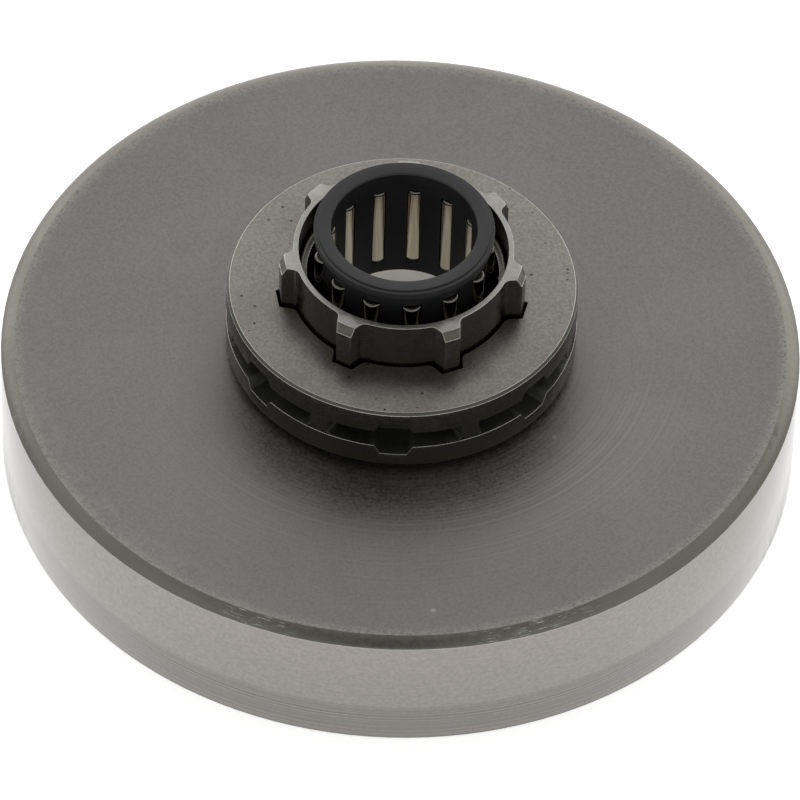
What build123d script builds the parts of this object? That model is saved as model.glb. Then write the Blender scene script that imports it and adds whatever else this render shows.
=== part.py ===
from build123d import *
import math
import os

# Clutch drum of a chainsaw. A pressed steel cup carries a splined hub, a rim sprocket floats on
# the splines, and a caged needle bearing in the hub runs on the engine's shaft.
# Millimetres. Z is the shaft's axis, z = 0 is the cup's open edge, and +Z points to the sprocket.

# Cup: pressed, then turned outside, with a low rounding between its face and its wall
cup_diameter = 80.0
cup_height = 14.1
cup_wall = 2.6
cup_web = 2.8
cup_rounding_width = 1.35
cup_rounding_depth = 0.6
cup_rounding_radius = 3.0
cup_inner_fillet = 1.5
cup_mouth_chamfer = 0.5
cup_edge_break = 0.2

# Needle bearing: rollers that run on the shaft inside and on the hub's bore outside
shaft_diameter = 14.0
roller_diameter = 2.0
roller_length = 9.8
roller_end_radius = 0.25
roller_count = 13
roller_first_angle = -83.3
race_clearance = 0.03

# Cage of the bearing: plastic, with a pocket that holds each roller from inside and outside
cage_length = 14.0
cage_rise = 3.0
cage_top_ring = 2.35
cage_shaft_clearance = 0.2
cage_race_clearance = 0.08
cage_bar_recess = 0.5
cage_lip_height = 0.9
cage_lip_step_width = 0.4
cage_lip_step_depth = 0.16
cage_edge_chamfer = 0.12
pocket_clearance = 0.06
pocket_end_clearance = 0.1

# Hub: a spigot through the cup's web, a collar on the web, and the splined body above it
hub_rise = 13.7
hub_lip_wall = 0.53
hub_mouth_depth = 3.3
hub_mouth_fillet = 0.5
hub_ledge_width = 0.85
hub_lead_in_width = 0.52
hub_lead_in_depth = 1.5
hub_collar_height = 0.9
hub_collar_width = 2.4
hub_spigot_wall = 2.6
hub_spigot_drop = 1.0
hub_end_chamfer = 0.4
braze_gap = 0.04

# Splines of the hub
spline_count = 7
spline_height = 1.42
spline_tip_width = 1.6
spline_flank_angle = 21.0
spline_root_fillet = 0.8
spline_chamfer_width = 0.45
spline_chamfer_depth = 1.05
spline_first_angle = -65.6

# Rim sprocket: two flanges with a slot between them, bridged by a tooth beside each drive link's window
rim_diameter = 35.0
rim_lower_flange = 2.75
rim_slot = 2.1
rim_upper_flange = 2.7
rim_tooth_width = 1.8
rim_tooth_taper = 6.0
rim_tooth_setback = 0.2
rim_slot_depth = 3.5
rim_slot_corner = 1.2
rim_slot_fillet = 0.45
rim_notch_depth = 1.05
rim_notch_mouth = 3.8
rim_notch_floor = 2.7
rim_edge_chamfer = 0.27
rim_radial_clearance = 0.25
rim_flank_clearance = 0.3

# Levels and radii that follow from the sizes above
cup_radius = cup_diameter / 2
cup_bore_radius = cup_radius - cup_wall
web_bottom = cup_height - cup_web
shaft_radius = shaft_diameter / 2
roller_radius = roller_diameter / 2
pitch_radius = shaft_radius + roller_radius
race_radius = shaft_radius + roller_diameter + race_clearance
hub_ledge_radius = race_radius + hub_lead_in_width
hub_mouth_radius = hub_ledge_radius + hub_ledge_width
hub_body_radius = hub_mouth_radius + hub_lip_wall
hub_spigot_radius = race_radius + hub_spigot_wall
spline_tip_radius = hub_body_radius + spline_height
hub_collar_radius = spline_tip_radius + hub_collar_width
hub_bottom = web_bottom - hub_spigot_drop
hub_top = cup_height + hub_rise
rim_bottom = cup_height + hub_collar_height
rim_radius = rim_diameter / 2
rim_height = rim_lower_flange + rim_slot + rim_upper_flange
cage_top = hub_top + cage_rise
cage_bottom = cage_top - cage_length
cage_ring_radius = race_radius - cage_race_clearance
cage_bar_radius = cage_ring_radius - cage_bar_recess
pocket_top = cage_top - cage_top_ring
pocket_length = roller_length + 2 * pocket_end_clearance
pocket_bottom = pocket_top - pocket_length
roller_bottom = pocket_bottom + pocket_end_clearance


def outline(*points):
    """Closed flat outline through the points: x, y in a plan, or radius, height in a half section."""
    return make_face(Polyline(*points, close=True))


def nearest_corner(shape, x, y):
    return shape.vertices().sort_by_distance((x, y))[0]


def rounded(shape, x, y, radius):
    return fillet(nearest_corner(shape, x, y), radius)


def turned(half_section):
    """Solid turned about the shaft's axis from a half section of radius and height."""
    return revolve(Plane.XZ * half_section, Axis.Z)


def around(shape, count, first_angle):
    """Copies of a shape at even angles about the shaft's axis."""
    return [Rot(0, 0, first_angle + 360 * step / count) * shape for step in range(count)]


def pressed_cup():
    """Cup with a web on top, a friction wall for the clutch shoes inside and a hole for the hub."""
    hole_radius = hub_spigot_radius + braze_gap
    face_end = (cup_radius - cup_rounding_width, cup_height)
    wall_end = (cup_radius, cup_height - cup_rounding_depth)
    straight = Polyline(
        wall_end,
        (cup_radius, cup_edge_break),
        (cup_radius - cup_edge_break, 0),
        (cup_bore_radius, 0),
        (cup_bore_radius, web_bottom),
        (hole_radius, web_bottom),
        (hole_radius, cup_height),
        face_end,
    )
    section = make_face(straight + RadiusArc(face_end, wall_end, cup_rounding_radius))
    section = rounded(section, cup_bore_radius, web_bottom, cup_inner_fillet)
    mouth = nearest_corner(section, cup_bore_radius, 0)
    return turned(chamfer(mouth, cup_mouth_chamfer))


def spline_plan(body_radius, tip_radius, tip_width):
    """Plan of the splined body: a round with trapezoid splines, wide at the root."""
    half_tip = tip_width / 2
    half_root = half_tip + tip_radius * math.tan(math.radians(spline_flank_angle))
    spline = outline((0, -half_root), (tip_radius, -half_tip), (tip_radius, half_tip), (0, half_root))
    plan = Circle(body_radius) + around(spline, spline_count, spline_first_angle)
    tip_corner = math.hypot(tip_radius, half_tip)
    roots = [v for v in plan.vertices() if math.hypot(v.X, v.Y) < (body_radius + tip_corner) / 2]
    return fillet(roots, spline_root_fillet)


def splined_hub():
    """Turned hub with its splines, a mouth with a ledge, and the bearing's race through it."""
    splines = spline_plan(hub_body_radius, spline_tip_radius, spline_tip_width)
    body = Pos(0, 0, cup_height) * extrude(splines, hub_rise)
    chamfer_cone = outline(
        (spline_tip_radius - spline_chamfer_width, hub_top),
        (spline_tip_radius, hub_top - spline_chamfer_depth),
        (hub_collar_radius, hub_top - spline_chamfer_depth),
        (hub_collar_radius, hub_top),
    )
    foot = outline(
        (0, hub_bottom),
        (hub_spigot_radius, hub_bottom),
        (hub_spigot_radius, cup_height),
        (hub_collar_radius, cup_height),
        (hub_collar_radius, rim_bottom),
        (0, rim_bottom),
    )
    foot = chamfer(nearest_corner(foot, hub_spigot_radius, hub_bottom), hub_end_chamfer)
    ledge = hub_top - hub_mouth_depth
    bore = outline(
        (0, hub_bottom),
        (race_radius + hub_end_chamfer, hub_bottom),
        (race_radius, hub_bottom + hub_end_chamfer),
        (race_radius, ledge - hub_lead_in_depth),
        (hub_ledge_radius, ledge),
        (hub_mouth_radius, ledge),
        (hub_mouth_radius, hub_top),
        (0, hub_top),
    )
    bore = rounded(bore, hub_mouth_radius, ledge, hub_mouth_fillet)
    return body - turned(chamfer_cone) + turned(foot) - turned(bore)


def rim_window():
    """Cutter of one window, along +X: the slot between two teeth, with a rounded foot all round."""
    floor_radius = rim_radius - rim_slot_depth
    mouth_radius = rim_radius + rim_slot_depth
    half_pitch = 180 / spline_count
    taper = math.tan(math.radians(rim_tooth_taper))
    half_tip = rim_tooth_width / 2 - taper * rim_slot_depth
    half_root = rim_tooth_width / 2 + taper * rim_radius
    tooth = outline((0, -half_root), (mouth_radius, -half_tip), (mouth_radius, half_tip), (0, half_root))
    teeth = [Rot(0, 0, side * half_pitch) * tooth for side in (-1, 1)]
    reach = 2 * mouth_radius
    spread = reach * math.tan(math.radians(half_pitch))
    sector = outline((0, 0), (reach, -spread), (reach, spread))
    plan = (Circle(mouth_radius) - Circle(floor_radius)) & sector
    plan = plan - teeth
    roots = [v for v in plan.vertices() if math.hypot(v.X, v.Y) < rim_radius]
    plan = fillet(roots, rim_slot_corner)
    cutter = extrude(plan, rim_slot)
    foot = cutter.edges().filter_by(Plane.XY).group_by(Axis.Z)[0]
    return fillet([e for e in foot if math.hypot(e.center().X, e.center().Y) < rim_radius], rim_slot_fillet)


def rim_notch():
    """Cutter in the middle of a window, along +X, that dips into both flanges."""
    half_mouth = rim_notch_mouth / 2
    half_floor = rim_notch_floor / 2
    across = outline(
        (-half_mouth, 0),
        (-half_floor, -rim_notch_depth),
        (half_floor, -rim_notch_depth),
        (half_mouth, 0),
        (half_mouth, rim_slot),
        (half_floor, rim_slot + rim_notch_depth),
        (-half_floor, rim_slot + rim_notch_depth),
        (-half_mouth, rim_slot),
    )
    floor_radius = rim_radius - rim_slot_depth
    return Pos(floor_radius, 0, 0) * extrude(Plane.YZ * across, 2 * rim_slot_depth)


def rim_sprocket():
    """Ring that slides on the splines, with a window for each drive link and notches for chips."""
    section = outline(
        (0, rim_bottom),
        (rim_radius, rim_bottom),
        (rim_radius, rim_bottom + rim_height),
        (0, rim_bottom + rim_height),
    )
    outer = [nearest_corner(section, rim_radius, z) for z in (rim_bottom, rim_bottom + rim_height)]
    section = chamfer(outer, rim_edge_chamfer)
    bore = spline_plan(
        hub_body_radius + rim_radial_clearance,
        spline_tip_radius + rim_radial_clearance,
        spline_tip_width + 2 * rim_flank_clearance,
    )
    ring = turned(section) - Pos(0, 0, rim_bottom) * extrude(bore, rim_height)
    first_window = spline_first_angle + 180 / spline_count
    slot_bottom = rim_bottom + rim_lower_flange
    for cutter in (rim_window(), rim_notch()):
        ring = ring - around(Pos(0, 0, slot_bottom) * cutter, spline_count, first_window)
    tooth_tips = outline(
        (rim_radius - rim_tooth_setback, slot_bottom),
        (rim_radius + rim_tooth_setback, slot_bottom),
        (rim_radius + rim_tooth_setback, slot_bottom + rim_slot),
        (rim_radius - rim_tooth_setback, slot_bottom + rim_slot),
    )
    return ring - turned(tooth_tips)


def needle_cage():
    """Plastic ring cage with a stepped lip on top, a neck and bars below, and a pocket for each roller."""
    bore_radius = shaft_radius + cage_shaft_clearance
    section = outline(
        (bore_radius, cage_bottom),
        (cage_ring_radius, cage_bottom),
        (cage_ring_radius, pocket_bottom),
        (cage_bar_radius, pocket_bottom),
        (cage_bar_radius, cage_top - cage_lip_height),
        (cage_ring_radius, cage_top - cage_lip_height),
        (cage_ring_radius, cage_top - cage_lip_step_depth),
        (cage_ring_radius - cage_lip_step_width, cage_top - cage_lip_step_depth),
        (cage_ring_radius - cage_lip_step_width, cage_top),
        (bore_radius, cage_top),
    )
    edges = ((bore_radius, cage_top), (bore_radius, cage_bottom), (cage_ring_radius, cage_bottom))
    section = chamfer([nearest_corner(section, r, z) for r, z in edges], cage_edge_chamfer)
    pocket = Pos(pitch_radius, 0, pocket_bottom) * extrude(
        Circle(roller_radius + pocket_clearance), pocket_length
    )
    return turned(section) - around(pocket, roller_count, roller_first_angle)


def needle_roller():
    """Roller with rounded ends, standing on the +X side of the bearing."""
    section = outline(
        (0, roller_bottom),
        (roller_radius, roller_bottom),
        (roller_radius, roller_bottom + roller_length),
        (0, roller_bottom + roller_length),
    )
    ends = [nearest_corner(section, roller_radius, roller_bottom + z) for z in (0, roller_length)]
    return Pos(pitch_radius, 0, 0) * turned(fillet(ends, roller_end_radius))


def main():
    pieces = {
        "clutch_drum": pressed_cup(),
        "splined_hub": splined_hub(),
        "rim_sprocket": rim_sprocket(),
        "needle_cage": needle_cage(),
    }
    rollers = around(needle_roller(), roller_count, roller_first_angle)
    for number, roller in enumerate(rollers, start=1):
        pieces[f"needle_roller_{number:02d}"] = roller
    os.makedirs("parts", exist_ok=True)
    for name, piece in pieces.items():
        export_step(piece, f"parts/{name}.step")
        print(name, "volume", round(piece.volume, 2))


main()
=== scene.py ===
# %% [markdown]
# A chainsaw's clutch drum, seen from its sprocket side.
#
# The steel drum stands on its open edge. A splined hub is brazed into its web, a rim sprocket
# floats on the splines, and a needle bearing with a black plastic cage sits in the hub. The
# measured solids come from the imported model, so this lesson is about edges, finishes and light.

# %% Load the frame
import math

import bpy
from mathutils import Matrix, Vector


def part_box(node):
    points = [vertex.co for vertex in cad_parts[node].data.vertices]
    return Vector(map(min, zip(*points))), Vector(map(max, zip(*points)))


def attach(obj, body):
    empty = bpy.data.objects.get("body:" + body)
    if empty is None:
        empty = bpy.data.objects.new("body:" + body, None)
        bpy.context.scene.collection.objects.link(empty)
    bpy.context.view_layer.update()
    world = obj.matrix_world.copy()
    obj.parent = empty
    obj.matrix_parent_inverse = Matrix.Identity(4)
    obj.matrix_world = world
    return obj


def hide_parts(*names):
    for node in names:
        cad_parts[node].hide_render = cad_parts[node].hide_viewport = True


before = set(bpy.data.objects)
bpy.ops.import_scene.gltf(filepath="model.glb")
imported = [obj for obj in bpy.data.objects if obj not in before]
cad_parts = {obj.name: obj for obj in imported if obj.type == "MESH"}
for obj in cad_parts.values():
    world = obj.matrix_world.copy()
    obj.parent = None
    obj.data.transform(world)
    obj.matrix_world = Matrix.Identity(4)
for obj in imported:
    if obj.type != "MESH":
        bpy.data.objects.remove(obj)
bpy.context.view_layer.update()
MM = 0.001

# %% [markdown]
# Some sizes are read from the solids, so that every finish below lands on the right surface.
# A size that is read can't drift away from the model, as one that is typed in twice can.

# %% Measure the solids
ROUNDING_WIDTH = 1.35 * MM
drum_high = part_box("clutch_drum")[1]
hub_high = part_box("splined_hub")[1]
rim_low, rim_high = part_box("rim_sprocket")
cage_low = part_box("needle_cage")[0]
drum_radius = drum_high.x
rim_radius = rim_high.x
rounding_start = drum_radius - ROUNDING_WIDTH
print("drum radius", round(drum_radius / MM, 2), "mm, height", round(drum_high.z / MM, 2), "mm")
print("rim from", round(rim_low.z / MM, 2), "to", round(rim_high.z / MM, 2), "mm")

# %% [markdown]
# The camera stands far off with a long lens, as for a catalogue picture, so the circles of the
# drum look like plain ellipses. It looks down at nearly half a right angle and leans a little.
# Its axes are worked out one turn after the other: down, a small pan, and then the lean.

# %% Set the camera
CAMERA_DISTANCE = 822.7 * MM
CAMERA_HEIGHT_ANGLE = math.radians(48.15)
CAMERA_LEAN = math.radians(1.84)
PICTURE_WIDTH = 800
FOCUS_IN_PIXELS = 8114
SENSOR_WIDTH = 36
PAN_RIGHT_PIXELS = -1.13
PAN_UP_PIXELS = 35.33
pan_right = math.atan2(PAN_RIGHT_PIXELS, FOCUS_IN_PIXELS)
pan_up = math.atan2(PAN_UP_PIXELS, FOCUS_IN_PIXELS)

back = Vector((0, -math.cos(CAMERA_HEIGHT_ANGLE), math.sin(CAMERA_HEIGHT_ANGLE)))
right = Vector((1, 0, 0))
up = back.cross(right)
ahead = -back
panned_right = math.cos(pan_right) * right + math.sin(pan_right) * ahead
panned_ahead = math.cos(pan_right) * ahead - math.sin(pan_right) * right
panned_up = math.cos(pan_up) * up - math.sin(pan_up) * panned_ahead
view_ahead = math.cos(pan_up) * panned_ahead + math.sin(pan_up) * up
view_right = math.cos(CAMERA_LEAN) * panned_right + math.sin(CAMERA_LEAN) * panned_up
view_up = math.cos(CAMERA_LEAN) * panned_up - math.sin(CAMERA_LEAN) * panned_right

bpy.ops.object.select_all(action="DESELECT")
bpy.ops.object.camera_add()
camera = bpy.context.object
camera.name = "catalogue_camera"
camera.data.sensor_width = SENSOR_WIDTH
camera.data.lens = FOCUS_IN_PIXELS / PICTURE_WIDTH * SENSOR_WIDTH
turn = Matrix((view_right, view_up, -view_ahead)).transposed()
camera.matrix_world = Matrix.Translation(back * CAMERA_DISTANCE) @ turn.to_4x4()
bpy.context.scene.camera = camera
print("camera lens", round(camera.data.lens, 1), "mm")

# %% [markdown]
# Materials are built from nodes. Small helpers keep the cells short: they add a node and set its
# sockets, join two sockets, do a sum on two values, step a value smoothly from one level to another,
# mix two colours by a mask, and start an empty group.

# %% Helpers for nodes
def add_node(tree, kind, **sockets):
    node = tree.nodes.new(kind)
    for name, value in sockets.items():
        node.inputs[name.replace("_", " ")].default_value = value
    return node


def join(tree, source, target):
    tree.links.new(source, target)


def math_node(tree, operation, first, second=0.0, clamp=False):
    node = tree.nodes.new("ShaderNodeMath")
    node.operation = operation
    node.use_clamp = clamp
    for place, value in enumerate((first, second)):
        if isinstance(value, (int, float)):
            node.inputs[place].default_value = value
        else:
            join(tree, value, node.inputs[place])
    return node.outputs[0]


def ramp_value(tree, value, low, high, low_out=0.0, high_out=1.0):
    """A smooth step of a value from low_out to high_out."""
    node = tree.nodes.new("ShaderNodeMapRange")
    node.interpolation_type = "SMOOTHSTEP"
    join(tree, value, node.inputs["Value"])
    levels = {"From Min": low, "From Max": high, "To Min": low_out, "To Max": high_out}
    for name, number in levels.items():
        node.inputs[name].default_value = number
    return node.outputs["Result"]


def mix_colours(tree, mask, first, second):
    """The first where the mask is 0 and the second where it is 1; both are colours or sockets."""
    node = tree.nodes.new("ShaderNodeMix")
    node.data_type = "RGBA"
    join(tree, mask, node.inputs["Factor"])
    for place, value in ((6, first), (7, second)):
        if isinstance(value, tuple):
            node.inputs[place].default_value = (*value, 1)
        else:
            join(tree, value, node.inputs[place])
    return node.outputs[2]


def new_group(name, inputs, outputs):
    """An empty node group with named inputs and outputs."""
    group = bpy.data.node_groups.new(name, "ShaderNodeTree")
    for socket, kind in inputs:
        group.interface.new_socket(socket, in_out="INPUT", socket_type=kind)
    for socket, kind in outputs:
        group.interface.new_socket(socket, in_out="OUTPUT", socket_type=kind)
    return group, group.nodes.new("NodeGroupInput"), group.nodes.new("NodeGroupOutput")


print("node helpers ready")

# %% [markdown]
# Most of these pieces are turned about the shaft's axis, so their finish follows the radius, the
# height and the way round. The first group measures all three from the place on the piece.

# %% Group: place on a turned piece
turned_place, place_in, place_out = new_group(
    "turned_place",
    [("Position", "NodeSocketVector")],
    [("Radius", "NodeSocketFloat"), ("Height", "NodeSocketFloat"), ("Degrees", "NodeSocketFloat")],
)
apart = turned_place.nodes.new("ShaderNodeSeparateXYZ")
join(turned_place, place_in.outputs["Position"], apart.inputs[0])
x_squared = math_node(turned_place, "MULTIPLY", apart.outputs["X"], apart.outputs["X"])
y_squared = math_node(turned_place, "MULTIPLY", apart.outputs["Y"], apart.outputs["Y"])
square_sum = math_node(turned_place, "ADD", x_squared, y_squared)
join(turned_place, math_node(turned_place, "SQRT", square_sum), place_out.inputs["Radius"])
join(turned_place, apart.outputs["Z"], place_out.inputs["Height"])
turn_angle = math_node(turned_place, "ARCTAN2", apart.outputs["Y"], apart.outputs["X"])
join(turned_place, math_node(turned_place, "DEGREES", turn_angle), place_out.inputs["Degrees"])
print("group", turned_place.name)

# %% [markdown]
# A lathe tool leaves fine lines, each a little deeper or brighter than the next. They could be a
# regular wave, but real feed marks are uneven, so a one-way noise along the radius or the height
# is used. Most values of a noise lie near its middle, so the ramp stretches those.

# %% Group: lathe lines
NOISE_LOW, NOISE_HIGH = 0.3, 0.7
lathe_lines, lines_in, lines_out = new_group(
    "lathe_lines",
    [("Distance", "NodeSocketFloat"), ("Pitch", "NodeSocketFloat")],
    [("Lines", "NodeSocketFloat")],
)
steps = math_node(lathe_lines, "DIVIDE", lines_in.outputs["Distance"], lines_in.outputs["Pitch"])
streaks = add_node(lathe_lines, "ShaderNodeTexNoise", Scale=1.0, Detail=2.0, Roughness=0.6)
streaks.noise_dimensions = "1D"
join(lathe_lines, steps, streaks.inputs["W"])
line_strength = ramp_value(lathe_lines, streaks.outputs[0], NOISE_LOW, NOISE_HIGH)
join(lathe_lines, line_strength, lines_out.inputs["Lines"])
print("group", lathe_lines.name)

# %% [markdown]
# Bare steel is never one grey. It has a fine grain from the rolling or the hardening, and wide
# soft clouds where oil and handling changed it. One group gives both, at sizes set per material.

# %% Group: steel grain
steel_grain, grain_in, grain_out = new_group(
    "steel_grain",
    [
        ("Position", "NodeSocketVector"),
        ("Grain per metre", "NodeSocketFloat"),
        ("Clouds per metre", "NodeSocketFloat"),
    ],
    [("Grain", "NodeSocketFloat"), ("Clouds", "NodeSocketFloat")],
)
for output, density in (("Grain", "Grain per metre"), ("Clouds", "Clouds per metre")):
    noise = add_node(steel_grain, "ShaderNodeTexNoise", Detail=3.0, Roughness=0.55)
    join(steel_grain, grain_in.outputs["Position"], noise.inputs["Vector"])
    join(steel_grain, grain_in.outputs[density], noise.inputs["Scale"])
    strength = ramp_value(steel_grain, noise.outputs[0], NOISE_LOW, NOISE_HIGH)
    join(steel_grain, strength, grain_out.inputs[output])
print("group", steel_grain.name)

# %% [markdown]
# Pits, nicks and dust are small marks, strewn unevenly. A cell pattern gives every cell one
# spot, and the cell's own random colour decides whether the spot is there at all.

# %% Group: small marks
SPOT_SHARPNESS = 12.0
small_marks, marks_in, marks_out = new_group(
    "small_marks",
    [
        ("Position", "NodeSocketVector"),
        ("Cells per metre", "NodeSocketFloat"),
        ("Share", "NodeSocketFloat"),
        ("Spot size", "NodeSocketFloat"),
    ],
    [("Marks", "NodeSocketFloat")],
)
cells = small_marks.nodes.new("ShaderNodeTexVoronoi")
join(small_marks, marks_in.outputs["Position"], cells.inputs["Vector"])
join(small_marks, marks_in.outputs["Cells per metre"], cells.inputs["Scale"])
cell_draw = small_marks.nodes.new("ShaderNodeSeparateColor")
join(small_marks, cells.outputs["Color"], cell_draw.inputs[0])
is_there = math_node(small_marks, "LESS_THAN", cell_draw.outputs[0], marks_in.outputs["Share"])
spot_reach = math_node(small_marks, "MULTIPLY", marks_in.outputs["Spot size"], cell_draw.outputs[1])
nearness = math_node(small_marks, "SUBTRACT", spot_reach, cells.outputs["Distance"])
spot = math_node(small_marks, "MULTIPLY", nearness, SPOT_SHARPNESS, clamp=True)
join(small_marks, math_node(small_marks, "MULTIPLY", spot, is_there), marks_out.inputs["Marks"])
print("group", small_marks.name)

# %% [markdown]
# Every material below starts from the same bench: a shader and the place on the piece. Only what
# changes over the surface is linked; a value that is the same all over is set on the shader itself.

# %% Start a material
def use_group(tree, group, **sockets):
    node = tree.nodes.new("ShaderNodeGroup")
    node.node_tree = group
    for name, value in sockets.items():
        socket = node.inputs[name.replace("_", " ")]
        if isinstance(value, (int, float)):
            socket.default_value = value
        else:
            join(tree, value, socket)
    return node


def start_material(name, metallic, roughness):
    material = bpy.data.materials.new(name)
    material.use_nodes = True
    tree = material.node_tree
    shader = tree.nodes["Principled BSDF"]
    shader.inputs["Metallic"].default_value = metallic
    shader.inputs["Roughness"].default_value = roughness
    position = tree.nodes.new("ShaderNodeTexCoord").outputs["Object"]
    return material, tree, shader, position


def add_bump(tree, shader, height, strength, depth):
    bump = add_node(tree, "ShaderNodeBump", Strength=strength, Distance=depth)
    join(tree, height, bump.inputs["Height"])
    join(tree, bump.outputs[0], shader.inputs["Normal"])


print("material bench ready")

# %% [markdown]
# The drum's face is pressed sheet, dull and mid grey. It has a fine speckle, faint rings from a
# facing cut near the hub, with painted glints on them that are strongest in front, a few bright nicks
# from handling, a lighter ring beside its rounding that is rubbed steel and a painted highlight along
# the crease, and a scuffed stretch at the left.

# %% Finish: drum face
FACE_DARK = (0.148, 0.143, 0.131)
FACE_LIGHT = (0.212, 0.205, 0.19)
NICK_GREY = (0.42, 0.41, 0.39)
MARK_AND_GLINT_GREY = (0.27, 0.26, 0.24)
GRAIN_SHARE = 0.75
FACE_SMOOTH, FACE_ROUGH = 0.38, 0.5
drum_face, tree, shader, position = start_material("drum_face", 1.0, 0.45)
place = use_group(tree, turned_place, Position=position)
grain = use_group(tree, steel_grain, Position=position, Grain_per_metre=4000.0, Clouds_per_metre=70.0)
fine = math_node(tree, "MULTIPLY", grain.outputs["Grain"], GRAIN_SHARE)
wide = math_node(tree, "MULTIPLY", grain.outputs["Clouds"], 1 - GRAIN_SHARE)
tone = math_node(tree, "ADD", fine, wide)
colour = mix_colours(tree, tone, FACE_DARK, FACE_LIGHT)
join(tree, ramp_value(tree, tone, 0.0, 1.0, FACE_SMOOTH, FACE_ROUGH), shader.inputs["Roughness"])
print("base of", drum_face.name)

# %% [markdown]
# The rubbed ring and the scuffed stretch both lie beside the rounding. The ring is also a painted
# highlight, the bright line that the rounding's crease catches. Each is a mask of place, times the
# grain, so that it breaks up as real rubbing does. Angles are counted from the right, so the front
# is at -90 degrees.

# %% Drum face: rubbed ring with painted highlight, and scuffs
RUBBED_HIGHLIGHT_WIDTH = 1.2 * MM
SCUFFED_AT = -142.0
SCUFF_FULL, SCUFF_END = 12.0, 42.0
SCUFF_STRENGTH = 0.5
SCUFF_INNER, SCUFF_OUTER = 35.4 * MM, 36.4 * MM
radius, degrees = place.outputs["Radius"], place.outputs["Degrees"]
# Painted highlight: a lighter ring just inside the crease, partly rubbed steel.
rubbed_highlight = ramp_value(tree, radius, rounding_start - RUBBED_HIGHLIGHT_WIDTH, rounding_start)
rubbed_highlight = math_node(tree, "MULTIPLY", rubbed_highlight, grain.outputs["Grain"])
colour = mix_colours(tree, rubbed_highlight, colour, MARK_AND_GLINT_GREY)
scuffs = use_group(tree, steel_grain, Position=position, Grain_per_metre=1700.0, Clouds_per_metre=420.0)
from_scuff = math_node(tree, "ABSOLUTE", math_node(tree, "SUBTRACT", degrees, SCUFFED_AT))
scuffed = math_node(tree, "MULTIPLY", scuffs.outputs["Grain"], scuffs.outputs["Clouds"])
scuff_fade = ramp_value(tree, from_scuff, SCUFF_FULL, SCUFF_END, SCUFF_STRENGTH, 0.0)
scuffed = math_node(tree, "MULTIPLY", scuffed, scuff_fade)
outwards = ramp_value(tree, radius, SCUFF_INNER, SCUFF_OUTER)
colour = mix_colours(tree, math_node(tree, "MULTIPLY", scuffed, outwards), colour, MARK_AND_GLINT_GREY)
print("rubbed from", round((rounding_start - RUBBED_HIGHLIGHT_WIDTH) / MM, 2), "mm outwards")

# %% [markdown]
# The rings of the facing cut are strongest near the hub, and patchy. Their lighter grey is also a
# painted glint, made strongest in front, where the rings catch the light. They lift the surface a
# little, and so does the grain.

# %% Drum face: rings with painted glints, and nicks
RINGS_FROM, RINGS_TO = 20 * MM, 36 * MM
RINGS_STRONG, RINGS_FAINT = 0.62, 0.06
RINGS_AT = -70.0
RINGS_FULL, RINGS_END = 20.0, 90.0
RINGS_BEHIND = 0.15
PATCH_LOW, PATCH_HIGH, PATCH_FAINT = 0.2, 0.8, 0.45
GRAIN_HEIGHT = 0.35
rings = use_group(tree, lathe_lines, Distance=radius, Pitch=0.35 * MM)
nicks = use_group(tree, small_marks, Position=position, Cells_per_metre=260.0, Share=0.08, Spot_size=0.11)
ring_reach = ramp_value(tree, radius, RINGS_FROM, RINGS_TO, RINGS_STRONG, RINGS_FAINT)
from_rings = math_node(tree, "ABSOLUTE", math_node(tree, "SUBTRACT", degrees, RINGS_AT))
# Painted glints: the rings are drawn lighter and stronger in front.
front_glints = ramp_value(tree, from_rings, RINGS_FULL, RINGS_END, 1.0, RINGS_BEHIND)
ring_reach = math_node(tree, "MULTIPLY", ring_reach, front_glints)
patches = ramp_value(tree, grain.outputs["Clouds"], PATCH_LOW, PATCH_HIGH, PATCH_FAINT, 1.0)
ring_reach = math_node(tree, "MULTIPLY", ring_reach, patches)
ring_and_glint_mask = math_node(tree, "MULTIPLY", rings.outputs["Lines"], ring_reach)
colour = mix_colours(tree, ring_and_glint_mask, colour, MARK_AND_GLINT_GREY)
colour = mix_colours(tree, nicks.outputs["Marks"], colour, NICK_GREY)
join(tree, colour, shader.inputs["Base Color"])
grain_height = math_node(tree, "MULTIPLY", grain.outputs["Grain"], GRAIN_HEIGHT)
face_height = math_node(tree, "ADD", grain_height, ring_and_glint_mask)
add_bump(tree, shader, face_height, strength=0.25, depth=0.02 * MM)
print("finish", drum_face.name)

# %% [markdown]
# The drum's wall is turned to size and brighter than the face. Its lines run level, and they are
# drawn strongest in the lower third, which is painted darker: a painted reflection of the floor's
# shadow beside the drum. A thin film of oil keeps it from rusting. The film could be mixed into the
# steel's colour, but then it would look the same from everywhere. As a coat it is clear from straight
# in front and mirrors where the eye looks along it.

# %% Finish: drum wall
WALL_BRIGHT = (0.287, 0.264, 0.237)
WALL_PAINTED_SHADE = (0.252, 0.233, 0.209)
WALL_LINE = (0.15, 0.141, 0.128)
OIL_FILM, OIL_ROUGHNESS = 0.85, 0.2
BAND_FULL, BAND_END = 3.6 * MM, 5.4 * MM
LINES_ABOVE = 0.15
WALL_SPECKLE = 0.36
WALL_SMOOTH, WALL_ROUGH = 0.16, 0.22
drum_wall, tree, shader, position = start_material("drum_wall", 1.0, 0.2)
shader.inputs["Coat Weight"].default_value = OIL_FILM
shader.inputs["Coat Roughness"].default_value = OIL_ROUGHNESS
place = use_group(tree, turned_place, Position=position)
grain = use_group(tree, steel_grain, Position=position, Grain_per_metre=2400.0, Clouds_per_metre=60.0)
lines = use_group(tree, lathe_lines, Distance=place.outputs["Height"], Pitch=0.22 * MM)
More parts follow.
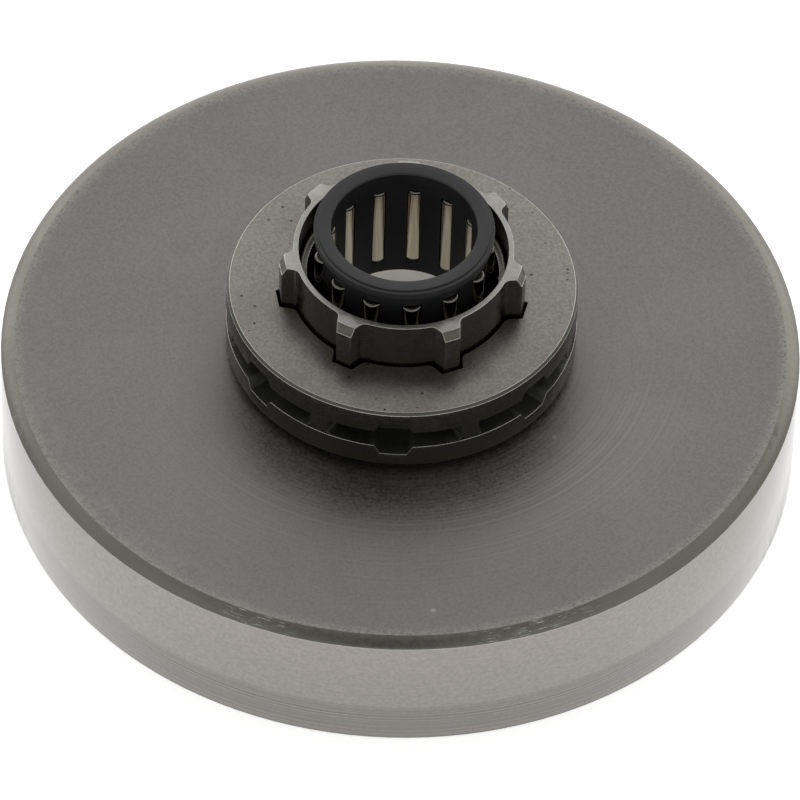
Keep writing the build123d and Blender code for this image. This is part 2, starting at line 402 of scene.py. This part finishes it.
# Painted shade: the wall is darker below BAND_END, for the floor's shadow that it mirrors.
low_painted_shade = ramp_value(tree, place.outputs["Height"], BAND_FULL, BAND_END, 1.0, 0.0)
colour = mix_colours(tree, low_painted_shade, WALL_BRIGHT, WALL_PAINTED_SHADE)
line_reach = math_node(tree, "ADD", low_painted_shade, LINES_ABOVE)
line_mask = math_node(tree, "MULTIPLY", lines.outputs["Lines"], line_reach)
colour = mix_colours(tree, line_mask, colour, WALL_LINE)
speckle = math_node(tree, "MULTIPLY", grain.outputs["Grain"], WALL_SPECKLE)
colour = mix_colours(tree, speckle, colour, WALL_LINE)
join(tree, colour, shader.inputs["Base Color"])
roughness = ramp_value(tree, grain.outputs["Clouds"], 0.0, 1.0, WALL_SMOOTH, WALL_ROUGH)
join(tree, roughness, shader.inputs["Roughness"])
add_bump(tree, shader, line_mask, strength=0.15, depth=0.01 * MM)
print("finish", drum_wall.name)

# %% [markdown]
# Between face and wall runs a low rounding. It was turned, so it is shinier than the face. Knocks
# left two short patches of bright scratches on it, both near the front. Round spots would look like
# dust, so the scratches are a noise that is pulled long in the way round.

# %% Finish: drum edge
EDGE_STEEL = (0.16, 0.152, 0.132)
EDGE_STEEL_LIGHT = (0.184, 0.175, 0.154)
SCRATCH_GREY = (0.6, 0.59, 0.56)
SCRATCHED = ((-110.0, 8.0), (-70.0, 13.0))
SCRATCH_CORE = 0.2
STROKES_PER_DEGREE = 0.4
STROKE_WIDTH = 0.1 * MM
STROKE_LOW, STROKE_HIGH = 0.57, 0.72
EDGE_SMOOTH, EDGE_ROUGH = 0.24, 0.32
drum_edge, tree, shader, position = start_material("drum_edge", 1.0, 0.28)
grain = use_group(tree, steel_grain, Position=position, Grain_per_metre=1800.0, Clouds_per_metre=90.0)
nicks = use_group(tree, small_marks, Position=position, Cells_per_metre=420.0, Share=0.03, Spot_size=0.14)
colour = mix_colours(tree, grain.outputs["Clouds"], EDGE_STEEL, EDGE_STEEL_LIGHT)
colour = mix_colours(tree, nicks.outputs["Marks"], colour, NICK_GREY)
place = use_group(tree, turned_place, Position=position)
stretched = tree.nodes.new("ShaderNodeCombineXYZ")
along = math_node(tree, "MULTIPLY", place.outputs["Degrees"], STROKES_PER_DEGREE)
across = math_node(tree, "DIVIDE", place.outputs["Radius"], STROKE_WIDTH)
join(tree, along, stretched.inputs["X"])
join(tree, across, stretched.inputs["Y"])
strokes = add_node(tree, "ShaderNodeTexNoise", Scale=1.0, Detail=3.0, Roughness=0.7)
strokes.noise_dimensions = "2D"
join(tree, stretched.outputs[0], strokes.inputs["Vector"])
scratches = ramp_value(tree, strokes.outputs[0], STROKE_LOW, STROKE_HIGH)
for centre, reach in SCRATCHED:
    away = math_node(tree, "ABSOLUTE", math_node(tree, "SUBTRACT", place.outputs["Degrees"], centre))
    fade = ramp_value(tree, away, SCRATCH_CORE * reach, reach, 1.0, 0.0)
    patch = math_node(tree, "MULTIPLY", scratches, fade)
    colour = mix_colours(tree, patch, colour, SCRATCH_GREY)
join(tree, colour, shader.inputs["Base Color"])
roughness = ramp_value(tree, grain.outputs["Grain"], 0.0, 1.0, EDGE_SMOOTH, EDGE_ROUGH)
join(tree, roughness, shader.inputs["Roughness"])
add_bump(tree, shader, grain.outputs["Grain"], strength=0.08, depth=0.02 * MM)
print("finish", drum_edge.name)

# %% [markdown]
# The rim sprocket is pressed from powder and hardened. Its top was ground, so it is light and
# has small dark pits and a few brownish stains. Its sides kept the dark olive skin of the furnace.

# %% Finish: rim top and rim side
RIM_LIGHT = (0.228, 0.218, 0.197)
RIM_SHADE = (0.168, 0.16, 0.143)
RIM_STAIN = (0.18, 0.166, 0.143)
RIM_PIT = (0.05, 0.046, 0.04)
RIM_SKIN = (0.074, 0.074, 0.062)
RIM_SKIN_LIGHT = (0.088, 0.087, 0.075)
STAIN_FROM, STAIN_STRENGTH = 0.62, 0.35
TOP_SMOOTH, TOP_ROUGH = 0.32, 0.42
SKIN_SMOOTH, SKIN_ROUGH = 0.24, 0.33
rim_top_finish, tree, shader, position = start_material("rim_top_finish", 1.0, 0.4)
grain = use_group(tree, steel_grain, Position=position, Grain_per_metre=3400.0, Clouds_per_metre=140.0)
pits = use_group(tree, small_marks, Position=position, Cells_per_metre=2200.0, Share=0.06, Spot_size=0.38)
colour = mix_colours(tree, grain.outputs["Grain"], RIM_SHADE, RIM_LIGHT)
stain = ramp_value(tree, grain.outputs["Clouds"], STAIN_FROM, 1.0, 0.0, STAIN_STRENGTH)
colour = mix_colours(tree, stain, colour, RIM_STAIN)
colour = mix_colours(tree, pits.outputs["Marks"], colour, RIM_PIT)
join(tree, colour, shader.inputs["Base Color"])
roughness = ramp_value(tree, grain.outputs["Clouds"], 0.0, 1.0, TOP_SMOOTH, TOP_ROUGH)
join(tree, roughness, shader.inputs["Roughness"])
top_height = math_node(tree, "SUBTRACT", grain.outputs["Grain"], pits.outputs["Marks"])
add_bump(tree, shader, top_height, strength=0.25, depth=0.02 * MM)

rim_side_finish, tree, shader, position = start_material("rim_side_finish", 1.0, 0.36)
grain = use_group(tree, steel_grain, Position=position, Grain_per_metre=1500.0, Clouds_per_metre=160.0)
colour = mix_colours(tree, grain.outputs["Clouds"], RIM_SKIN, RIM_SKIN_LIGHT)
join(tree, colour, shader.inputs["Base Color"])
roughness = ramp_value(tree, grain.outputs["Grain"], 0.0, 1.0, SKIN_SMOOTH, SKIN_ROUGH)
join(tree, roughness, shader.inputs["Roughness"])
add_bump(tree, shader, grain.outputs["Grain"], strength=0.05, depth=0.02 * MM)
print("finishes", rim_top_finish.name, rim_side_finish.name)

# %% [markdown]
# The hub is turned and hardened too. Its end is ground light and its splines are dark. The rim's
# windows are the dullest and darkest, because no tool and no chain reaches their inside.

# %% Finish: hub skin, hub end and rim inside
HUB_SKIN = (0.082, 0.081, 0.068)
HUB_SKIN_LIGHT = (0.098, 0.096, 0.082)
HUB_END = (0.25, 0.247, 0.227)
HUB_END_LIGHT = (0.34, 0.336, 0.312)
RIM_INSIDE = (0.085, 0.085, 0.072)
RIM_INSIDE_LIGHT = (0.105, 0.105, 0.09)
EVEN_SHARE = 0.5


def simple_steel(name, dark, light, smooth, rough, density):
    material, tree, shader, position = start_material(name, 1.0, smooth)
    grain = use_group(tree, steel_grain, Position=position, Grain_per_metre=density, Clouds_per_metre=180.0)
    fine = math_node(tree, "MULTIPLY", grain.outputs["Grain"], EVEN_SHARE)
    wide = math_node(tree, "MULTIPLY", grain.outputs["Clouds"], EVEN_SHARE)
    tone = math_node(tree, "ADD", fine, wide)
    join(tree, mix_colours(tree, tone, dark, light), shader.inputs["Base Color"])
    join(tree, ramp_value(tree, tone, 0.0, 1.0, smooth, rough), shader.inputs["Roughness"])
    add_bump(tree, shader, grain.outputs["Grain"], strength=0.15, depth=0.02 * MM)
    return material


hub_skin = simple_steel("hub_skin", HUB_SKIN, HUB_SKIN_LIGHT, SKIN_SMOOTH, SKIN_ROUGH, density=1700.0)
hub_end = simple_steel("hub_end", HUB_END, HUB_END_LIGHT, smooth=0.3, rough=0.4, density=2400.0)
rim_inside = simple_steel(
    "rim_inside", RIM_INSIDE, RIM_INSIDE_LIGHT, smooth=0.45, rough=0.55, density=1600.0
)
print("finishes", hub_skin.name, hub_end.name, rim_inside.name)

# %% [markdown]
# The hub's bore is polished, because the rollers run on it, and grease darkens it round the bearing.
# That darkening is also painted shade, for the narrow gap between the cage and the hub's mouth. The
# bore is one long cylinder, so the grease can't be given to some of its faces. It is mixed in by
# height instead, from the cage's lower end upwards.

# %% Finish: hub bore
BORE_STEEL = (0.62, 0.59, 0.54)
BORE_STEEL_LIGHT = (0.7, 0.67, 0.62)
BORE_GREASED_SHADE = (0.21, 0.2, 0.181)
GREASE_FADE = 0.6 * MM
GREASE_ROUGHNESS = 0.12
BORE_SMOOTH, BORE_ROUGH = 0.16, 0.24
hub_bore, tree, shader, position = start_material("hub_bore", 1.0, 0.2)
place = use_group(tree, turned_place, Position=position)
grain = use_group(tree, steel_grain, Position=position, Grain_per_metre=1200.0, Clouds_per_metre=180.0)
# Grease and painted shade: darker from the cage's lower end upwards.
greased_and_shaded = ramp_value(tree, place.outputs["Height"], cage_low.z, cage_low.z + GREASE_FADE)
colour = mix_colours(tree, grain.outputs["Clouds"], BORE_STEEL, BORE_STEEL_LIGHT)
join(tree, mix_colours(tree, greased_and_shaded, colour, BORE_GREASED_SHADE), shader.inputs["Base Color"])
smear = math_node(tree, "MULTIPLY", greased_and_shaded, GREASE_ROUGHNESS)
roughness = ramp_value(tree, grain.outputs["Grain"], 0.0, 1.0, BORE_SMOOTH, BORE_ROUGH)
join(tree, math_node(tree, "ADD", roughness, smear), shader.inputs["Roughness"])
add_bump(tree, shader, grain.outputs["Grain"], strength=0.15, depth=0.02 * MM)
print("finish", hub_bore.name)

# %% [markdown]
# Where two faces meet, handling rubs the edge bright. On the real pieces that is a thin line of
# bare metal on every corner, and it is what the eye reads first. The light colour is also a painted
# highlight: only edges that look up get it, where they catch the light from above.

# %% Finish: worn edge with painted highlight
# Painted highlight: a light edge colour, which is partly real wear.
WORN_HIGHLIGHT_STEEL = (0.31, 0.304, 0.277)
WORN_HIGHLIGHT_STEEL_LIGHT = (0.54, 0.528, 0.493)
worn_highlight_edge = simple_steel("worn_highlight_edge", WORN_HIGHLIGHT_STEEL, WORN_HIGHLIGHT_STEEL_LIGHT, smooth=0.3, rough=0.42, density=2400.0)
print("finish", worn_highlight_edge.name)

# %% [markdown]
# The cage is black plastic with a faint sheen and very fine rings from its mould. Its bore, which
# nothing polishes, is duller.

# %% Finish: cage plastic
CAGE_BLACK = (0.008, 0.0083, 0.009)
CAGE_WORN = (0.018, 0.0185, 0.02)


def black_plastic(name, shine, smooth, rough):
    material, tree, shader, position = start_material(name, 0.0, smooth)
    shader.inputs["Specular IOR Level"].default_value = shine
    place = use_group(tree, turned_place, Position=position)
    grain = use_group(tree, steel_grain, Position=position, Grain_per_metre=1900.0, Clouds_per_metre=260.0)
    rings = use_group(tree, lathe_lines, Distance=place.outputs["Radius"], Pitch=0.16 * MM)
    tone = math_node(tree, "MULTIPLY", rings.outputs["Lines"], grain.outputs["Clouds"])
    join(tree, mix_colours(tree, tone, CAGE_BLACK, CAGE_WORN), shader.inputs["Base Color"])
    roughness = ramp_value(tree, rings.outputs["Lines"], 0.0, 1.0, smooth, rough)
    join(tree, roughness, shader.inputs["Roughness"])
    add_bump(tree, shader, rings.outputs["Lines"], strength=0.2, depth=0.01 * MM)
    return material


cage_plastic = black_plastic("cage_plastic", shine=0.4, smooth=0.34, rough=0.46)
cage_bore = black_plastic("cage_bore", shine=0.16, smooth=0.5, rough=0.6)
print("finishes", cage_plastic.name, cage_bore.name)

# %% [markdown]
# The rollers are ground and polished, and running leaves thin brown streaks along them, from a noise
# that is pulled long in that direction. Their round ends are painted darker, as painted shade from
# the cage's rings over them. A roller is one solid with one material, so the ends are found by their
# distance from its middle.

# %% Finish: roller steel
ROLLER_GROUND = (0.33, 0.285, 0.2)
ROLLER_GROUND_LIGHT = (0.62, 0.56, 0.43)
ROLLER_END_SHADE = (0.14, 0.134, 0.12)
STREAK_STRETCH = (1, 1, 0.06)
END_FADE, END_WIDTH = 0.35 * MM, 0.2 * MM
END_ROUGHNESS = 0.12
ROLLER_SMOOTH, ROLLER_ROUGH = 0.08, 0.14
roller_low, roller_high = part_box("needle_roller_01")
roller_middle = (roller_low.z + roller_high.z) / 2
roller_reach = (roller_high.z - roller_low.z) / 2
roller_steel, tree, shader, position = start_material("roller_steel", 1.0, 0.2)
place = use_group(tree, turned_place, Position=position)
stretched = tree.nodes.new("ShaderNodeVectorMath")
stretched.operation = "MULTIPLY"
join(tree, position, stretched.inputs[0])
stretched.inputs[1].default_value = STREAK_STRETCH
along = stretched.outputs[0]
grain = use_group(tree, steel_grain, Position=along, Grain_per_metre=1900.0, Clouds_per_metre=700.0)
tone = math_node(tree, "ADD", grain.outputs["Grain"], grain.outputs["Clouds"])
tone = math_node(tree, "MULTIPLY", tone, EVEN_SHARE)
colour = mix_colours(tree, tone, ROLLER_GROUND, ROLLER_GROUND_LIGHT)
above_middle = math_node(tree, "SUBTRACT", place.outputs["Height"], roller_middle)
from_middle = math_node(tree, "ABSOLUTE", above_middle)
# Painted shade: the ends are darker, for the cage's rings above them.
end_shade = ramp_value(tree, from_middle, roller_reach - END_FADE, roller_reach - END_WIDTH)
colour = mix_colours(tree, end_shade, colour, ROLLER_END_SHADE)
join(tree, colour, shader.inputs["Base Color"])
roughness = ramp_value(tree, tone, 0.0, 1.0, ROLLER_SMOOTH, ROLLER_ROUGH)
dulled = math_node(tree, "MULTIPLY", end_shade, END_ROUGHNESS)
join(tree, math_node(tree, "ADD", roughness, dulled), shader.inputs["Roughness"])
add_bump(tree, shader, grain.outputs["Grain"], strength=0.04, depth=0.02 * MM)
print("finish", roller_steel.name)

# %% [markdown]
# The solids have mathematically sharp corners, which no real piece has. Each large piece gets a
# finished copy: the solid's loose triangles are merged, and a narrow bevel breaks every sharp
# edge. The bevel's own faces take the worn-edge finish, which is wear and a painted highlight, where
# they look up and can be touched. Upright edges, undersides and inner corners are hardly rubbed and
# get no painted highlight, so they keep the last finish.

# %% Helper: a finished copy of a solid
SHARP_ANGLE = math.radians(28)
SMOOTH_ANGLE = math.radians(20)
UPRIGHT = 0.15
WELD_DISTANCE = 0.0005 * MM
BEVEL_SEGMENTS = 2


def finished_copy(node, body, name, edge_width, finishes, takes_highlight=lambda spot, r: True):
    """finishes: pairs of a material and a test of a face's centre, radius and normal.

    takes_highlight: a test of an edge's place, which says whether it gets rubbed and the painted edge
    highlight.
    """
    bpy.ops.object.select_all(action="DESELECT")
    piece = bpy.data.objects.new(name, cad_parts[node].data.copy())
    bpy.context.scene.collection.objects.link(piece)
    bpy.context.view_layer.objects.active = piece
    piece.select_set(True)
    bpy.ops.mesh.customdata_custom_splitnormals_clear()
    bpy.ops.object.mode_set(mode="EDIT")
    bpy.ops.mesh.select_all(action="SELECT")
    bpy.ops.mesh.remove_doubles(threshold=WELD_DISTANCE)
    bpy.ops.object.mode_set(mode="OBJECT")
    piece.data.materials.clear()
    for material, _ in finishes:
        piece.data.materials.append(material)
    piece.data.materials.append(worn_highlight_edge)
    for face in piece.data.polygons:
        spot = face.center
        for place, (_, chooses) in enumerate(finishes):
            if chooses(spot, math.hypot(spot.x, spot.y), face.normal):
                face.material_index = place
                break
    bevel = piece.modifiers.new("edge_break", "BEVEL")
    bevel.width = edge_width
    bevel.segments = BEVEL_SEGMENTS
    bevel.limit_method = "ANGLE"
    bevel.angle_limit = SHARP_ANGLE
    bevel.use_clamp_overlap = False
    bevel.material = len(finishes)
    bpy.ops.object.modifier_apply(modifier=bevel.name)
    for face in piece.data.polygons:
        spot = face.center
        # Upward bevel faces get the worn edge finish: wear and a painted highlight.
        worn_and_highlit = face.normal.z > UPRIGHT and takes_highlight(spot, math.hypot(spot.x, spot.y))
        if face.material_index == len(finishes) and not worn_and_highlit:
            face.material_index = len(finishes) - 1
    bpy.ops.object.shade_smooth_by_angle(angle=SMOOTH_ANGLE)
    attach(piece, body)
    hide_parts(node)
    print(name, len(piece.data.polygons), "faces")
    return piece


# %% [markdown]
# The drum's three finishes are told apart by place: the wall is the outermost cylinder, the face
# is level and on top, and the rounding lies between them. The inside keeps the face's grey. The
# rounding meets the face in a crease of a few degrees. Smooth shading would wash it out, so its
# edges are marked sharp.

# %% Piece: drum
UPRIGHT_FACE = 0.2
SURFACE_DEPTH = 0.05 * MM
ROUNDING_REACH = 38.2 * MM
ROUNDING_LOW, ROUNDING_HIGH = 0.02, 0.995
wall_reach = drum_radius - SURFACE_DEPTH
drum = finished_copy(
    "clutch_drum",
    "drum",
    "pressed_drum",
    edge_width=0.03 * MM,
    finishes=[
        (drum_wall, lambda spot, r, n: r > wall_reach and abs(n.z) < UPRIGHT_FACE),
        (drum_edge, lambda spot, r, n: r > ROUNDING_REACH and ROUNDING_LOW < n.z < ROUNDING_HIGH),
        (drum_face, lambda spot, r, n: True),
    ],
)

CREASE = 0.02 * MM


def on_crease(point):
    off_circle = abs(math.hypot(point.x, point.y) - rounding_start)
    return off_circle < CREASE and point.z > drum_high.z - CREASE


marked = 0
for edge in drum.data.edges:
    if all(on_crease(drum.data.vertices[end].co) for end in edge.vertices):
        edge.use_edge_sharp = True
        marked += 1
print(marked, "edges of the crease marked sharp")

# %% [markdown]
# The rim's top is ground, its windows are dull inside, and every other face keeps its skin. Nothing
# rubs the corners inside its windows and notches, so only the outermost edges there are worn and
# get the painted edge highlight.

# %% Piece: rim sprocket
WINDOW_FLOOR = 13.2 * MM
FLANGE = 1.5 * MM
NOTCHED_FLANGE = 1 * MM
TOOTH_SETBACK = 0.25 * MM
OUTER_EDGE = 0.1 * MM
TOP_DEPTH = 0.02 * MM
LEVEL_FACE = 0.9


def between_flanges(spot, thickness):
    return rim_low.z + thickness < spot.z < rim_high.z - thickness


def in_window(spot, r):
    return WINDOW_FLOOR < r < rim_radius - TOOTH_SETBACK and between_flanges(spot, FLANGE)


def in_notch(spot, r):
    return WINDOW_FLOOR < r < rim_radius - OUTER_EDGE and between_flanges(spot, NOTCHED_FLANGE)


rim = finished_copy(
    "rim_sprocket",
    "rim",
    "rim_ring",
    edge_width=0.035 * MM,
    finishes=[
        (rim_top_finish, lambda spot, r, n: n.z > LEVEL_FACE and spot.z > rim_high.z - TOP_DEPTH),
        (rim_side_finish, lambda spot, r, n: not in_window(spot, r)),
        (rim_inside, lambda spot, r, n: True),
    ],
    takes_highlight=lambda spot, r: not in_notch(spot, r),
)

# %% [markdown]
# The hub shows three finishes: the polished bore, the ground end, and the skin of the splines.

# %% Piece: hub
RACE_REACH = 9.1 * MM
hub = finished_copy(
    "splined_hub",
    "drum",
    "hub_body",
    edge_width=0.04 * MM,
    finishes=[
        (hub_bore, lambda spot, r, n: r < RACE_REACH and abs(n.z) < UPRIGHT_FACE),
        (hub_end, lambda spot, r, n: n.z > LEVEL_FACE and spot.z > hub_high.z - TOP_DEPTH),
        (hub_skin, lambda spot, r, n: True),
    ],
)

# %% [markdown]
# The cage's bore is dull and the rest shines a little. Its broken edges stay plastic and get no
# painted edge highlight, so its worn-edge slot is swapped.

# %% Piece: cage
BORE_REACH = 7.3 * MM
cage = finished_copy(
    "needle_cage",
    "bearing",
    "cage_body",
    edge_width=0.04 * MM,
    finishes=[
        (cage_bore, lambda spot, r, n: r < BORE_REACH and abs(n.z) < UPRIGHT_FACE),
        (cage_plastic, lambda spot, r, n: True),
    ],
)
highlight_slot = len(cage.data.materials) - 1
cage.data.materials[highlight_slot] = cage_plastic

# %% [markdown]
# The rollers' solids are already round at their ends, so they stay and only take a finish.

# %% Rollers
rollers = [solid for name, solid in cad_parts.items() if name.startswith("needle_roller")]
for solid in rollers:
    solid.data.materials.clear()
    solid.data.materials.append(roller_steel)
print(len(rollers), "rollers finished")

# %% [markdown]
# The floor is plain white paper, which ends before the camera. It gets a little light of its own
# for the camera and for reflections, so that it reads as white, and its paper still takes the
# drum's soft shadow. Under the drum it glows less, because little light gets there.

# %% Floor
FLOOR_SIZE = 3.0
FLOOR_DROP = 0.05 * MM
FLOOR_BACK = 2.65
FLOOR_GLOW = 0.62
COVERED_GLOW = 0.36
COVER_FADE = 3 * MM
FLOOR_CORNERS = 96
PAPER = (0.8, 0.8, 0.8, 1)
PAPER_ROUGHNESS, PAPER_SHINE = 0.9, 0.1
bpy.ops.object.select_all(action="DESELECT")
bpy.ops.mesh.primitive_circle_add(
    vertices=FLOOR_CORNERS, radius=FLOOR_SIZE, fill_type="NGON", location=(0, FLOOR_BACK, -FLOOR_DROP)
)
floor = bpy.context.object
floor.name = "paper_floor"
paper = bpy.data.materials.new("white_paper")
paper.use_nodes = True
tree = paper.node_tree
shader = tree.nodes["Principled BSDF"]
shader.inputs["Base Color"].default_value = PAPER
shader.inputs["Roughness"].default_value = PAPER_ROUGHNESS
shader.inputs["Specular IOR Level"].default_value = PAPER_SHINE
rays = tree.nodes.new("ShaderNodeLightPath")
seen = math_node(tree, "MAXIMUM", rays.outputs["Is Camera Ray"], rays.outputs["Is Glossy Ray"])
seen = math_node(tree, "MAXIMUM", seen, rays.outputs["Is Transmission Ray"])
shader.inputs["Emission Color"].default_value = (1, 1, 1, 1)
shift = tree.nodes.new("ShaderNodeVectorMath")
join(tree, tree.nodes.new("ShaderNodeTexCoord").outputs["Object"], shift.inputs[0])
shift.inputs[1].default_value = (0, FLOOR_BACK, 0)
place = use_group(tree, turned_place, Position=shift.outputs[0])
radius = place.outputs["Radius"]
glow = ramp_value(tree, radius, drum_radius - COVER_FADE, drum_radius, COVERED_GLOW, FLOOR_GLOW)
join(tree, math_node(tree, "MULTIPLY", seen, glow), shader.inputs["Emission Strength"])
floor.data.materials.append(paper)
print("floor radius", FLOOR_SIZE, "m")

# %% [markdown]
# The studio is a white tent that is bright all round and darker above. Flat faces mirror its bright
# back, and the rounding in front mirrors the darker top. Each part fades in between two directions.

# %% World
TENT_FRONT = 0.9
TENT_TOP = 0.22
TENT_BACK = 0.93
TENT_HORIZON = 0.4
TENT_SIDES = 0.78
FRONT_FULL, FRONT_END = -0.8, -0.5
BACK_START, BACK_FULL = -0.05, 0.75
HORIZON_FULL = 1.0
SIDES_START, SIDES_FULL = -0.1, 0.42
world = bpy.data.worlds.new("studio_tent")
bpy.context.scene.world = world
world.use_nodes = True
tree = world.node_tree
tree.nodes.clear()
output = tree.nodes.new("ShaderNodeOutputWorld")
direction = tree.nodes.new("ShaderNodeSeparateXYZ")
join(tree, tree.nodes.new("ShaderNodeTexCoord").outputs["Generated"], direction.inputs[0])
backwards = direction.outputs["Y"]
front = ramp_value(tree, backwards, FRONT_FULL, FRONT_END, TENT_FRONT, TENT_TOP)
behind = ramp_value(tree, backwards, BACK_START, BACK_FULL, 0.0, TENT_BACK)
horizon = ramp_value(tree, backwards, BACK_FULL, HORIZON_FULL, 0.0, TENT_HORIZON)
sideways = math_node(tree, "ABSOLUTE", direction.outputs["X"])
sides = ramp_value(tree, sideways, SIDES_START, SIDES_FULL, 0.0, TENT_SIDES)
tent_light = math_node(tree, "ADD", math_node(tree, "ADD", front, behind), horizon)
tent_light = math_node(tree, "MAXIMUM", tent_light, sides)
tent = add_node(tree, "ShaderNodeBackground", Color=(1, 1, 1, 1))
join(tree, tent_light, tent.inputs["Strength"])
white = add_node(tree, "ShaderNodeBackground", Color=(1, 1, 1, 1), Strength=1.0)
rays = tree.nodes.new("ShaderNodeLightPath")
choice = tree.nodes.new("ShaderNodeMixShader")
join(tree, rays.outputs["Is Camera Ray"], choice.inputs[0])
join(tree, tent.outputs[0], choice.inputs[1])
join(tree, white.outputs[0], choice.inputs[2])
join(tree, choice.outputs[0], output.inputs["Surface"])
print("world", world.name)

# %% [markdown]
# Two large soft boxes stand left and right behind the object. They are wide and near, so their
# shadows have no hard edge.

# %% Soft boxes
BOX_ASIDE, BOX_BEHIND, BOX_HEIGHT = 0.75, 1.0, 0.7
BOX_SIZE = 0.8
BOX_WATTS = 1.2
for name, side in (("left_soft_box", -BOX_ASIDE), ("right_soft_box", BOX_ASIDE)):
    stand = Vector((side, BOX_BEHIND, BOX_HEIGHT))
    bpy.ops.object.light_add(type="AREA", location=stand)
    lamp = bpy.context.object
    lamp.name = name
    lamp.data.size = BOX_SIZE
    lamp.data.energy = BOX_WATTS
    lamp.rotation_euler = (-stand).to_track_quat("-Z", "Y").to_euler()
    print(lamp.name, "at", [round(value, 2) for value in stand])

# %% [markdown]
# Standard view keeps each colour as it was written. The sizes are written out, so that the
# dressed drum can be compared with the solids, and the frame is closed.

# %% Finish
bpy.context.scene.view_settings.view_transform = "Standard"
